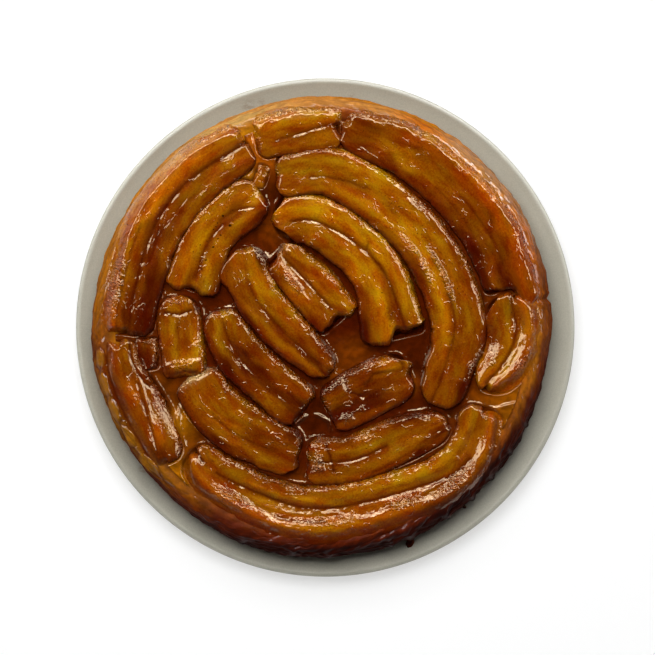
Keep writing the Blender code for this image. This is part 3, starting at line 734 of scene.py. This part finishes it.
def flatHalf(half, seed):
    # a half laid flat, on a grid that is finer at its edges: s mm from the head along the route, q mm to the
    # right of it, v from -1 to 1 across. d is the distance from the edge, whose ends are round as a circle
    steps, steady, ahead = half["walk"]
    length = steps[-1]
    near = min(loaf["endReach"], length / 3) * (1 - np.cos(np.linspace(0, np.pi / 2, loaf["endRows"])))
    count = max(6, int((length - 2 * near[-1]) / loaf["rowStep"]))
    middle = np.linspace(near[-1], length - near[-1], count)
    s = np.concatenate([near[:-1], middle, (length - near)[::-1][1:]])[:, None]
    v = np.sin(np.linspace(-1, 1, loaf["columns"]) * np.pi / 2)[None, :]
    x, y, wide = (np.interp(s, steps, steady[:, k]) for k in range(3))
    ax, ay = (np.interp(s, steps, ahead[:, k]) for k in range(2))
    held = []
    for side, grow in zip((-1, 1), half["grow"]):
        bound = wide + grow + loaf["glaze"] + 0.5 * grain(s, 0 * s, 8.0, seed + side, 3)
        for place, onSide, reach, depth in half.get("nicks", []):
            if onSide == side:
                bound = bound + depth * bell((s - place * length) / reach)
        held.append(np.minimum(*(bound - r + np.sqrt(r**2 - np.clip(r - away, 0, r) ** 2)
                                 for away, r in zip((s, length - s), half["ends"]))))
    edge = np.where(v < 0, held[0], held[1])
    q = v * edge
    v, s = v + 0 * q, s + 0 * q
    room = edge * (1 - np.abs(v))
    # where a half runs on into the next one (open), its pastry side has no end of its own
    runsOn = ease(-2 * v - 0.1)
    endGap = np.minimum(*(1.3 * away + 40 * runsOn * (half.get("open") == key)
                          for key, away in (("head", s), ("tail", length - s))))
    d = np.minimum(room, endGap)
    d = np.clip(d + 0.3 * grain(s, q, 2.6, seed + 9) * ease(d / 1.5), 0, None)
    # how far the nearer side looks to the windows: there the glaze has set in a thicker, wrinkled roll
    north = 0.9 * np.where(v < 0, ax, -ax) + 0.43 * np.where(v < 0, -ay, ay) + 0 * q
    sideReach, sideFall = (np.where(v < 0, a, b) for a, b in zip(*half["slope"]))
    across = q / wide + 0.05 * grain(s, q * 0, 16.0, seed + 1)
    return SimpleNamespace(
        s=s, q=q, v=v, d=d, x=x, y=y, ax=ax, ay=ay, wide=wide, length=length, across=across, runsOn=runsOn,
        room=room, endGap=endGap, north=north, sideReach=sideReach, sideFall=sideFall,
        baked=sideReach > loaf["pastrySide"])


def halfRelief(half, seed, flat):
    # depth below the half's top: the profile, uneven ground, lumps and lines, less the fall towards the edges
    s, q, d = flat.s, flat.q, flat.d
    relief = half.get("deep", loaf["deep"]) * hills(flat.across, half["profile"])
    relief = relief * (1 + 0.45 * grain(s, 0.5 * q, 13.0, seed + 16))
    relief += 0.26 * grain(s, q, 11.0, seed + 2, 3) + 0.07 * grain(s / 3.0, q, 2.4, seed + 3, 2)
    for (height,), near in stretches(half, "lumps", flat):
        relief += height * near
    for height, width, points in half.get("lines", []):
        lift = height * (0.9 if height > 0 else 0.6) * (1 + 0.7 * grain(s, q, 3.5, seed + 12, 2))
        relief += lift * bell(lineGap(s, q, flat.length, flat.wide, points) / width)
    relief = np.minimum(relief, loaf["ceiling"]) - loaf["settled"]
    relief = relief - max(0.0, relief.max())
    reach = np.minimum(flat.sideReach * (1 + 0.2 * grain(s, q, 6.0, seed + 4)), 3.4 + flat.endGap)
    fall = flat.sideFall * np.clip(reach / flat.sideReach, 0, 1)
    relief -= np.where(flat.baked, 1.25, 0.5) * fall * (1 - ease((d - 1.0) / reach))
    roll = (0.15 + 0.3 * ease(1.5 * flat.north)) * bell((d - 2.2) / 1.6)
    relief += roll * grain(s, q, 2.3, seed + 13, 2)
    roll = 0.85 * flat.baked * ease(flat.north + 0.5) * bell((d - 4.5) / 3.5)
    return relief + roll * grain(s, q / 1.5, 3.8, seed + 17, 2)


def halfForm(half, seed, flat):
    # a low loaf: rows across the route from head to tail. It climbs from the caramel as a quarter of an
    # ellipse, as wide as its brow, to its top less the relief
    s, q, v, d = flat.s, flat.q, flat.v, flat.d
    top, bottom = boxOf(half["node"])[1][2], poolLevel - loaf["sunk"]
    relief = halfRelief(half, seed, flat)
    ending = ease(1.4 * (1 - flat.endGap / np.maximum(flat.room, 0.1)))  # 1 near head and tail
    brow = loaf["brow"] + 3.0 * ease(1.5 * flat.north) + 2.2 * ending + 0.9 * grain(s, q, 7.0, seed + 14)
    brow = np.where(flat.baked & (ending < 0.5), 0.01, brow)
    climb = np.sqrt(1 - np.square(1 - np.clip(d / brow, 0, 1)))
    z = bottom + np.minimum(top + relief - bottom, top - bottom) * climb
    jog = np.zeros_like(q)  # how far head and tail are pushed out or in
    for key, away, way in (("head", s, -1), ("tail", flat.length - s, 1)):
        if key in half:
            push = hills(v, half[key]) + 0.5 * grain(q, 0 * q, 3.0, seed + 8)
            jog += way * push * ease(1 - away / loaf["jog"])
    x = flat.x + flat.ay * q + flat.ax * jog
    y = flat.y - flat.ax * q + flat.ay * jog
    # where pastry wraps the half, its side sinks gently below the crust
    z = between((z, pastryTop(x, y) - 0.5), ease(1 - d / flat.sideReach) * flat.baked)
    if "open" in half:
        away = s if half["open"] == "head" else flat.length - s
        z = z - 2.2 * flat.runsOn * (1 - ease(away / 9))
    return np.stack([x, y, z], -1), bottom


def halfPaint(half, seed, flat, x, y):
    # the quilt of the half's tones, clouded; darker at the edges, partly the caramel and partly painted shade
    # (lighter on the side that looks to the windows, redder on the side turned away); darker in creases; and
    # the crust's crest colour, itself partly painted light and shade, where the half joins the crust
    s, q, d, north, baked = flat.s, flat.q, flat.d, flat.north, flat.baked
    paint = quilt(s / flat.length + 0.03 * grain(s, q, 9.0, seed + 10),
                  flat.across + 0.12 * grain(s, q, 7.0, seed + 5), half["tones"])
    paint = paint * (1 + 0.09 * grain(s, q, 12.0, seed + 6, 2))[..., None]
    paint = paint * np.exp(0.24 * grain(s / 2, q, 4.0, seed + 15, 3)[..., None] * np.array([0.1, 1.0, 1.6]))
    # painted shade along the edge, less of it on the side that looks to the windows
    paint = mixTo(paint, "dark", np.where(baked, 0.0, 0.5 - 0.3 * ease(1.5 * north)) * bell(d / 3.2))
    # at the very edge: the dark caramel the half stands in, and painted shade there
    paint = mixTo(paint, "deep", np.where(baked, 0.0, 0.8) * bell(d / 1.5))
    # painted shade on the side turned away from the windows: redder and darker near that edge
    paintedShadeAway = bell(d / 5.5) * ease(0.4 - north) * ~baked
    paint = paint * (1 - paintedShadeAway[..., None] * np.array([0.08, 0.32, 0.3]))
    # the crust's crest colour, partly painted light and shade, where the half runs into the pastry
    joined = bell(d / flat.sideReach * 1.8) * baked
    paint = between((paint, crestTone(x, y)), joined[..., None])
    for height, width, points in half.get("lines", []):
        if height < 0:
            # painted shade in the crease, on top of the groove's own darker colour
            gap = lineGap(s, q, flat.length, flat.wide, points) / width
            paint = mixTo(paint, "umber", min(0.8, -1.0 * height) * bell(gap / 1.8))
            paint = mixTo(paint, "deep", min(0.8, -0.8 * height) * bell(gap / 0.8))
    for (colour, share), near in stretches(half, "stains", flat):
        paint = mixTo(paint, colour, share * np.minimum(1.4 * near, 1))
    return paint


def halfShine(half, seed, flat):
    # how broken the glaze is: least on the flats, more on the side that looks to the windows, most at spots
    s, q, d, north = flat.s, flat.q, flat.d, flat.north
    shine = half.get("film", loaf["film"]) + 0.2 * bell((d - 1.5) / 1.5) + 0.14 * grain(s, q, 6.0, seed + 11)
    shine += 0.7 * ease(north) * bell((d - 2.6) / 1.5)
    shine += 0.2 * flat.baked * ease(north + 0.5) * bell((d - 4.5) / 3.5)
    for (strength,), near in stretches(half, "shine", flat):
        shine = np.maximum(shine, strength * near)
    return np.clip(shine, 0.04, 1.2)


def makeHalf(half, seed):
    # the form's grid closed by three columns underneath, and by a face at head and tail
    flat = half["flat"] = flatHalf(half, seed)
    grid, bottom = halfForm(half, seed, flat)
    half["grid"] = grid
    rows, cols = flat.q.shape
    paint = halfPaint(half, seed, flat, grid[..., 0], grid[..., 1])
    back = slice(None, None, -(cols - 1) // 2)

    def closed(values):
        return np.concatenate([values, values[:, back]], 1)

    skin = closed(grid)
    skin[:, cols:, 2] = bottom - loaf["sunk"]
    run = np.stack([flat.s, flat.q], -1) / 10 + seed * 3.7
    faces = gridFaces(rows, cols + 3, wrap=True)
    first = np.arange(cols + 3)
    faces.append(first[::-1].tolist())
    faces.append((first + (rows - 1) * (cols + 3)).tolist())
    name = half["node"].replace("banana_", "half_")
    obj = makeMesh(name, skin, faces, fruit, closed(paint), closed(run))
    setValues(obj, "shine", "FLOAT", "value", closed(halfShine(half, seed, flat)))
    settle(obj, "banana", half["node"])


def spotOn(half, along, across):
    # the point of a half's surface nearest to a place on it
    flat = half["flat"]
    row = np.abs(flat.s[:, 0] - along * flat.length).argmin()
    return half["grid"][row, np.abs(flat.across[row] - across).argmin()]


for k, half in enumerate(halves):
    half["walk"] = walkRoute(half["route"])
    makeHalf(half, 10 + 20 * k)
print("banana halves:", len(halves))


def ball(rings, around):
    # points of a ball of radius 1, in rings from the top down
    ring = np.linspace(0, np.pi, rings)[:, None]
    turn = np.arange(around) * 2 * np.pi / around
    points = np.broadcast_arrays(np.sin(ring) * np.cos(turn), np.sin(ring) * np.sin(turn), np.cos(ring))
    return np.stack(points, -1).reshape(-1, 3)


def manyFaces(rings, around, count):
    # the faces of count balls, one after another
    one = np.array(gridFaces(rings, around, wrap=True))
    return np.concatenate([one + k * rings * around for k in range(count)]).tolist()


# dark specks of the banana's core: a bead's rings and points around, its size and how flat it is
beads = dict(rings=5, around=8, size=0.72, flat=0.35,
             tones=((0.014, 0.005, 0.001, 1), (0.04, 0.013, 0.001, 1)))


def makeSeeds():
    # flattened beads set into the tops of the halves, one by one or along a row
    bead = ball(beads["rings"], beads["around"])
    dice = np.random.default_rng(77)
    verts = []
    for half in halves:
        marks = list(half.get("seeds", []))
        for a0, c0, a1, c1, count, size in half.get("rows", []):
            t = np.linspace(0, 1, count) + dice.uniform(-0.02, 0.02, count)
            marks += [(between((a0, a1), k), between((c0, c1), k) + dice.uniform(-0.05, 0.05),
                       size * dice.uniform(0.6, 1.2)) for k in t]
        for along, across, size in marks:
            shape = np.array([1, dice.uniform(0.6, 0.9), beads["flat"]]) * size * beads["size"]
            verts.append(spotOn(half, along, across) + bead * shape)
    board = Board("banana seed", Roughness=0.6, Specular_IOR_Level=0.0)
    speck = board.noise(board.place(), 900.0, 2, 0.5)
    tint = board.blend(board.span(speck, 0.35, 0.65), *beads["tones"])
    faces = manyFaces(beads["rings"], beads["around"], len(verts))
    settle(makeMesh("seeds", np.array(verts), faces, board.feed(Base_Color=tint)), "banana")


makeSeeds()

# caramel between the halves

pool = dict(radius=112.0, cells=310, creep=1.1, rise=0.8, thick=3, tuck=3.5, bank=2.6)
# where its colour or its height differs: (x, y, reach, colour, rise)
# the first patch, dark, is a painted shadow on the caramel
poolPatches = [(12.5, -1, 8, "deep", 0), (5.5, -25, 8, "umber", 0), (-27.5, 53, 8, "umber", 0),
               (106, -47, 15, "toffee", 2.6), (-84, -88, 16, "honey", 2.5), (-80, -52, 7, "honey", 2.0),
               (-112, -60, 12, "honey", 1.0), (15, -14, 9, "umber", 0.0), (45, -31, 5, "brown", 0.0),
               (-35, 102, 8, "orange", 0.5), (-34, 91, 7, "ginger", 0.8), (-42, 82, 5, "tan", 0.8)]
# wrinkles: (height, width, points)
poolFolds = [(1.1, 0.9, [(-16, -52), (-11, -48), (-4, -47.5), (2, -51), (3, -56)]),
             (0.55, 1.0, [(92, -44), (102, -41), (113, -44)]), (0.45, 0.9, [(98, -56), (110, -52)]),
             (0.6, 0.9, [(-76, -38), (-82, -54), (-78, -66)])]


def halfGap(half, x, y):
    # distance from a half's outline in plan, less than nothing inside it: that of a strip with round corners,
    # measured from the nearest point of the route
    steps, steady, ahead = half["walk"]
    length = steps[-1]
    pad = 24
    gap = np.full(x.shape, 99.0)
    low, high = steady[:, :2].min(0) - pad, steady[:, :2].max(0) + pad
    near = (x > low[0]) & (x < high[0]) & (y > low[1]) & (y < high[1])
    px, py = x[near], y[near]
    best, close = np.zeros(px.shape, int), np.full(px.shape, 1e9)
    for k, (cx, cy) in enumerate(steady[:, :2]):
        far = (px - cx) ** 2 + (py - cy) ** 2
        closer = far < close
        best[closer], close[closer] = k, far[closer]
    dx, dy = px - steady[best, 0], py - steady[best, 1]
    along = steps[best] + dx * ahead[best, 0] + dy * ahead[best, 1]
    off = dx * ahead[best, 1] - dy * ahead[best, 0]
    grow = 0.9 + np.where(off < 0, *half["grow"])
    corner = np.where(along < length / 2, *half["ends"])
    outX = np.abs(along - length / 2) - (length / 2 - corner)
    outY = np.abs(off) - (steady[best, 2] + grow - corner)
    outside = np.hypot(np.clip(outX, 0, None), np.clip(outY, 0, None))
    gap[near] = outside + np.minimum(np.maximum(outX, outY), 0) - corner
    return gap


def poolHeight(x, y):
    # level in the middle and higher near the crust, with uneven ground, patches as bells, and folds as ridges
    z = poolLevel + pool["bank"] * ease((polar(x, y)[1] - 50) / 55) + 0.12 * grain(x, y, 9.0, 401, 2)
    for px, py, reach, _, rise in poolPatches:
        z = z + (rise + 0.45 * grain(x, y, 4.5, 404, 2)) * bell(np.hypot(x - px, y - py) / reach)
    for height, width, points in poolFolds:
        z = z + height * bell(lineGap(x, y, 1, 1, points) / width) * (1 + 1.2 * grain(x, y, 4.0, 405))
    return z


def makePool():
    # a round sheet: the square grid is pressed into a circle, its height is the caramel's level, and it
    # climbs against each half by an exponential of the distance. A wall and a floor close it underneath
    n = pool["cells"]
    a, b = np.meshgrid(np.linspace(-1, 1, n), np.linspace(-1, 1, n), indexing="ij")
    x = tartMiddle[0] + pool["radius"] * a * np.sqrt(1 - b * b / 2)
    y = tartMiddle[1] + pool["radius"] * b * np.sqrt(1 - a * a / 2)
    gaps = np.stack([halfGap(half, x, y) for half in halves])
    two = np.sort(gaps, axis=0)[:2]
    near = two[0]
    narrow = ease(1 - np.clip(two, 0, None).sum(0) / 7.0)  # 1 where two halves nearly touch
    climb = np.minimum(np.exp(-np.clip(gaps, 0, None) / pool["creep"]).sum(0), 1.3)
    z = poolHeight(x, y) + pool["rise"] * climb + 0.5 * narrow - pool["tuck"] * ease(-near / 3.0)
    paint = shades(polar(x, y)[1], [(0, "pool"), (75, "pool"), (100, "brown"), (118, "brown")])
    paint = paint * (1 + 0.3 * grain(x, y, 12.0, 402, 2))[..., None]
    # painted shade: the caramel darker close to each half, and darker still where two halves nearly touch
    paint = mixTo(paint, "dark", 0.6 * np.exp(-np.clip(near, 0, None) / 1.6))
    paint = mixTo(paint, "dark", 0.6 * narrow)
    for px, py, reach, colour, _ in poolPatches:
        paint = mixTo(paint, colour, 1.1 * bell(np.hypot(x - px, y - py) / reach))
    verts = np.stack([x, y, z], -1).reshape(-1, 3)
    index = np.arange(n * n).reshape(n, n)
    rim = np.concatenate([index[:-1, 0], index[-1, :-1], index[:0:-1, -1], index[0, :0:-1]])
    low = verts[rim].copy()
    low[:, 2] = poolLevel - pool["thick"]
    under = n * n + np.arange(len(rim))
    wall = np.stack([rim, under, np.roll(under, -1), np.roll(rim, -1)], 1)
    faces = [f[::-1] for f in gridFaces(n, n)] + wall.tolist() + [under[::-1].tolist()]
    paint = np.concatenate([paint.reshape(-1, 3), paint.reshape(-1, 3)[rim]])
    settle(makeMesh("caramel", np.vstack([verts, low]), faces, caramel, paint), "banana")


makePool()

# caramel dripped on the plate beside the crust: the spots are (x, y, half width, half length, lean)
drops = dict(rings=17, around=36, spots=[(46.6, -116.6, 2.1, 4.3, -0.35), (76, -98, 1.2, 0.9, 0.3)])


def makeDrops():
    # low balls with an uneven outline, as high as the plate is below them
    verts = []
    shape = ball(drops["rings"], drops["around"])
    for x, y, wide, long, lean in drops["spots"]:
        c, s = np.cos(lean), np.sin(lean)
        bend = 1 + 0.14 * grain(shape[:, 0] * 2, shape[:, 1] * 2, 1.0, int(x) + 600, 2)
        px, py = shape[:, 0] * wide * bend, shape[:, 1] * long * bend
        lift = 0.1 + 0.55 * max(np.hypot(x, y) - (plateHigh[0] - 13.5), 0)
        pz = tartLow[2] + lift + 0.5 * min(wide, long) * shape[:, 2]
        verts.append(np.stack([x + px * c - py * s, y + px * s + py * c, pz], -1))
    verts = np.array(verts)
    cloud = grain(verts[..., 0], verts[..., 1], 1.5, 610)
    paint = mixTo(np.broadcast_to(tone["black"], verts.shape), "dark", 0.5 + 0.5 * cloud)
    faces = manyFaces(drops["rings"], drops["around"], len(verts))
    settle(makeMesh("drops", verts, faces, caramel, paint), "banana")


makeDrops()
print("caramel made")

# pastry

def roundThrough(stops, share, window):
    # a profile read closely along its stops, (reach, height) each, and softened by a moving average
    fine = np.linspace(0, len(stops) - 1, share)
    reach, rise = (np.interp(fine, np.arange(len(stops)), np.array(stops)[:, k]) for k in (0, 1))
    window = window / window.sum()
    inner = slice(len(window) // 2, -(len(window) // 2))
    for values in (reach, rise):
        values[inner] = np.convolve(values, window, "valid")
    return reach, rise


def makePastry():
    # a turned profile whose radius follows the outline's waves; thin leaves step its side and streak its top
    n, base = pastry["around"], tartLow[2]
    turn = np.arange(n) * 2 * np.pi / n
    degrees = np.degrees(turn)
    out = np.interp(degrees, *zip(*pastry["outline"]))[:, None]
    reach, rise = roundThrough(pastry["profile"], pastry["down"], np.hanning(11)[1:-1])
    cols = len(reach)
    far = np.concatenate([[0], np.cumsum(np.hypot(np.diff(reach), np.diff(rise)))])
    T, D = np.meshgrid(turn, far, indexing="ij")
    reach, rise = reach[None, :], rise[None, :]

    def wind(along, across, seed, rounds=2):
        # grain along the edge: a closed loop, so the pattern meets itself
        return grain(np.cos(T) * 125 / along + D / across * 0.8, np.sin(T) * 125 / along + D / across * 0.6,
                     1.0, seed, rounds)

    def aside(place):
        # how far along the edge from an angle, in radians
        return ((degrees[:, None] - place + 180) % 360 - 180) * np.pi / 180

    angle, *tints, soaked, ragged = zip(*pastryTones)
    soaked, ragged = (np.interp(degrees, angle, column)[:, None] for column in (soaked, ragged))
    edge = ease((reach + 13) / 6) * ease((rise - 0.4) / 3)  # 1 where leaves and folds may show
    side = ease((reach + 5.5) / 3.0) * ease((24 - rise) / 2.5)
    flake, rim = np.zeros((n, cols)), np.zeros((n, cols))
    for place, half in pastryLeaves:
        bound = np.hypot(aside(place) * 121 / half, (reach + 4.4) / 2.6) + 0.16 * wind(3.5, 2, 512)
        flake = np.maximum(flake, ease((1.15 - bound) / 0.4))
        rim = np.maximum(rim, bell((bound - 1.2) / 0.22))
    flake, rim = flake * (rise > 12), rim * (rise > 12)
    leaf = np.sin(2 * np.pi * (rise / 2.6 + 0.8 * wind(26, 9, 505)))
    R = out + reach + edge * (0.5 * wind(17, 8, 501) + (0.25 + 0.5 * ragged) * wind(5, 4, 502))
    R = R + 0.28 * side * leaf
    Z = base + rise + edge * (0.3 * wind(14, 3.5, 503) + (0.12 + 0.5 * ragged) * wind(4.5, 3, 506))
    crack = bell(wind(10, 4, 511) / 0.1) * ragged * edge
    layer = wind(24, 2.2, 513) * edge * (0.2 + ragged)
    Z = Z + 0.9 * flake - 0.5 * rim - 0.5 * crack + 0.3 * layer
    drip = np.zeros_like(R)
    for place, half, proud in pastryDrips:
        off = aside(place) * 125 + 0.8 * wind(9, 6, 507)
        drop = bell(off / half) * ease((reach + 8) / 5) * ease((rise - 0.4) / 2)
        R, drip = R + proud * drop, np.maximum(drip, drop)

    across = reach + 1.2 * wind(8, 5, 508)
    level = rise + 1.5 * wind(7, 6, 509)
    # by angle: partly the crust's own colours, partly painted light and shade (pale north, near black south)
    inside, *bands = (shades(degrees, list(zip(angle, column)))[:, None, :] for column in tints)
    paint = inside + 0 * across[..., None]
    shares = ease((across + 13) / 5), ease((across + 8) / 4), ease((19 - level) / 5) * side
    for band, share in zip(bands, shares):
        paint = between((paint, band), share[..., None])
    paint = paint * (1 + (0.12 + 0.25 * ragged) * wind(4, 3, 504))[..., None]
    paint = mixTo(paint, "dark", 0.35 * ease(-leaf) * side)
    paint = mixTo(mixTo(paint, "olive", 0.9 * flake), "dark", 0.6 * rim + 0.5 * crack)
    paint = mixTo(paint * (1 + 0.3 * layer)[..., None], "black", 0.8 * drip)
    glint = np.clip((soaked - 0.6) / 0.3, 0, 1)  # where the caramel has soaked the very edge
    shine = soaked * (1 - (1 - glint) * ease((across + 7.5) / 5)) + 0.05 * wind(6, 5, 510)
    shine = np.maximum(shine * ease((20 - ragged * 6 + reach) / 10), 0.25 * drip)

    verts = np.stack([R * np.cos(T), R * np.sin(T), Z], -1)
    obj = makeMesh("crust", verts, [f[::-1] for f in turnedFaces(n, cols)], crust, paint)
    loop = np.stack([np.cos(T) * 12.5, np.sin(T) * 12.5, D / 10], -1)  # round the edge and down it, cm
    setValues(obj, "wind", "FLOAT_VECTOR", "vector", loop)
    setValues(obj, "shine", "FLOAT", "value", np.clip(shine, 0, 1))
    settle(obj, "crust", "pastry")


makePastry()
print("pastry made")


# plate

def makePlate():
    # a turned profile from the middle underneath, round the lip and back to the middle of the well
    radius, top, well = plateHigh[0], plateHigh[2], tartLow[2] - 0.3
    foot = [(0.02, 2.2), (60, 2.2), (72, 2.2), (73.4, 2.1), (74.4, 1.5), (75.2, 0.3), (76, 0), (80, 0),
            (80.8, 0.3), (81.8, 1.9), (84, 2.4), (100, 3.0), (119.7, 3.6), (126, 4.6), (130, 5.7), (133, 7.3)]
    # the lip, in from the plate's radius and down from its top
    lip = [(1.0, 2.6), (0.2, 1.7), (0, 1.1), (0.3, 0.55), (1.0, 0.2), (1.9, 0), (2.6, 0.15), (3.4, 0.55),
           (5.0, 1.4), (7.5, 2.5), (10.5, 3.7)]
    floor = [(radius - 13.5, well + 0.35), (radius - 16, well), (110, well), (60, well), (0.02, well)]
    stops = foot + [(radius - a, top - b) for a, b in lip] + floor
    reach, rise = roundThrough(stops, 3 * (len(stops) - 1) + 1, np.array([1, 2, 1]))
    rise[np.abs(rise) < 0.02] = 0
    n = dish["around"]
    turn = np.arange(n)[:, None] * 2 * np.pi / n
    R, Z = reach + 0 * turn, rise + 0 * turn
    pale = ease((R - radius + 2.0) / 0.8) * (Z > top - 1.8)
    paint = between((np.array(dish["body"]), np.array(dish["lip"])), pale[..., None])
    verts = np.stack([R * np.cos(turn), R * np.sin(turn), Z], -1)
    settle(makeMesh("dish", verts, turnedFaces(n, len(reach)), stoneware, paint), "stoneware", "plate")


makePlate()
print("plate made")

# floor, light and camera. Lamps: name, compass bearing, height over the table, distance, width, height,
# brightness, and what they light; the tall windows only show in the gloss, the others light everything
studio = dict(
    camera=(1.2, 0.0, 2216.0), lens=222.2, floor=(0.48, 0.48, 0.48, 1), floorGlow=0.55, floorSize=12000.0,
    skyStops=[(0.0, 0.14), (0.2, 0.14), (0.55, 0.09), (0.8, 0.01), (1.0, 0.01)],
    lamps=[("softbox", -12, 58, 1600, 1700, 1400, 5.1, "diffuse"),
           ("windowWest", -45, 40, 1900, 1700, 800, 11.5, "glossy"),
           ("windowNorth", 5, 40, 1900, 1700, 800, 11.5, "glossy"),
           ("windowEast", 55, 40, 1900, 1700, 800, 11.5, "glossy"),
           ("fillSouth", 180, 22, 2200, 2600, 1200, 0.26, "diffuse"),
           ("fillWest", -95, 24, 2200, 2400, 1200, 0.26, "diffuse"),
           ("fillEast", 85, 24, 2200, 2400, 1200, 0.26, "diffuse")])


def makeStage():
    # a wide pale square just under the plate, faintly lit from within
    size = studio["floorSize"]
    board = Board("pale floor", Roughness=0.9, Specular_IOR_Level=0.0, Emission_Strength=studio["floorGlow"],
                  Base_Color=studio["floor"], Emission_Color=(1, 1, 1, 1))
    corners = [(a * size, b * size, -0.05) for a, b in ((-1, -1), (1, -1), (1, 1), (-1, 1))]
    floor = makeMesh("floor", corners, [(0, 1, 2, 3)], board.material)


def makeLamp(name, bearing, height, away, wide, tall, glow, shows):
    # bearing and height are degrees seen from the tart, glow is the brightness of the lamp's face: its power
    # follows from its size
    data = bpy.data.lights.new(name, "AREA")
    data.shape = "RECTANGLE"
    data.size, data.size_y = wide * mm, tall * mm
    data.energy = glow * math.pi * data.size * data.size_y
    lamp = bpy.data.objects.new(name, data)
    b, h = math.radians(bearing), math.radians(height)
    way = Vector((math.sin(b) * math.cos(h), math.cos(b) * math.cos(h), math.sin(h)))
    lamp.location = way * away * mm + Vector((0, 0, 0.02))
    lamp.rotation_euler = way.to_track_quat("Z", "Y").to_euler()
    lamp.visible_diffuse = shows == "diffuse"
    lamp.visible_glossy = shows == "glossy"
    bpy.context.scene.collection.objects.link(lamp)


def makeSky():
    # grey, by the height of the way one looks
    world = bpy.data.worlds.new("studio")
    bpy.context.scene.world = world
    world.use_nodes = True
    nodes, links = world.node_tree.nodes, world.node_tree.links
    way = nodes.new("ShaderNodeTexCoord")
    split = nodes.new("ShaderNodeSeparateXYZ")
    ramp = nodes.new("ShaderNodeValToRGB")
    stops = ramp.color_ramp.elements
    while len(stops) < len(studio["skyStops"]):
        stops.new(0.5)
    for stop, (place, glow) in zip(stops, studio["skyStops"]):
        stop.position, stop.color = place, (glow, glow, glow, 1)
    links.new(way.outputs["Generated"], split.inputs[0])
    links.new(split.outputs["Z"], ramp.inputs[0])
    links.new(ramp.outputs[0], nodes["Background"].inputs["Color"])


def makeCamera():
    # a long lens straight above
    data = bpy.data.cameras.new("camera")
    data.lens, data.sensor_width = studio["lens"], 36
    data.clip_end = 100
    camera = bpy.data.objects.new("camera", data)
    camera.location = [c * mm for c in studio["camera"]]
    bpy.context.scene.collection.objects.link(camera)
    bpy.context.scene.camera = camera
    bpy.context.scene.view_settings.view_transform = "Standard"


makeStage()
makeSky()
for lamp in studio["lamps"]:
    makeLamp(*lamp)
makeCamera()
print("studio set")
